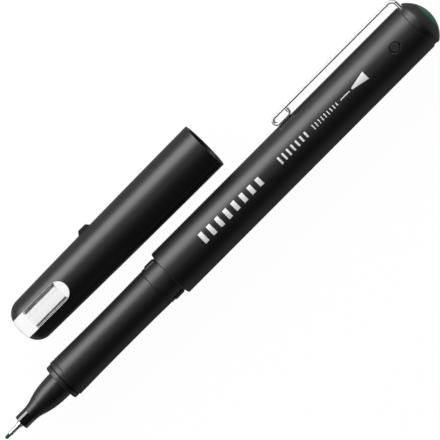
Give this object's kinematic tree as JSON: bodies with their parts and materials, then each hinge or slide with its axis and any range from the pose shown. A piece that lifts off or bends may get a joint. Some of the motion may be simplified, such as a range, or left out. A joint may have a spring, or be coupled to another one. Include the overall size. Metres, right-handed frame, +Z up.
{
  "type": "fineliner pen",
  "caption": "Fibre-tip pen lying with its cap drawn off beside it: tapered nose, waisted grip, round barrel, sprung side clip, domed end plug and a clear-ended cap.",
  "frame": {"origin": "on the pen's axis, in the plane of the barrel's front shoulder, where the cap's mouth seats", "axes": "+X along the pen from the nib to the domed end, +Y towards the clip and the cap laid beside the pen, +Z up from the table"},
  "size_m": [0.1367, 0.0277, 0.0122],
  "materials": {
    "barrel_plastic": "satin black moulding",
    "grip_plastic": "satin black moulding",
    "nose_plastic": "satin black moulding, polished at the straight end",
    "sleeve_steel": "bright drawn steel",
    "nib_fibre": "ink-soaked fibre",
    "reservoir_fibre": "ink-soaked fibre bundle",
    "film": "clear film",
    "plug_plastic": "satin black moulding",
    "green_plastic": "glossy green moulding",
    "clip_chrome": "bright plated spring strip",
    "cap_plastic": "satin black moulding",
    "clear_plastic": "clear moulding"
  },
  "bodies": {
    "pen": {"barrel": "barrel_plastic", "grip_section": "grip_plastic", "nose_cone": "nose_plastic", "tip_sleeve": "sleeve_steel", "fibre_nib": "nib_fibre", "ink_reservoir": "reservoir_fibre", "reservoir_wrap": "film", "end_plug": "plug_plastic", "colour_disc": "green_plastic"},
    "spring_clip": {"clip": "clip_chrome"},
    "cap": {"cap_shell": "cap_plastic", "inner_cap": "clear_plastic"}
  },
  "joints": [
    {"name": "clip_flex", "type": "hinge", "parent": "pen", "child": "spring_clip", "pos_m": [0.07955, 0.0038, 0], "axis": [0, 0, -1], "range_deg": [0, 5], "stiffness_Nm_per_rad": 0.2, "springref_deg": -1.72},
    {"name": "cap_slide", "type": "slide", "parent": "pen", "child": "cap", "axis": [-1, 0, 0], "range_m": [0, 0.082]}
  ]
}
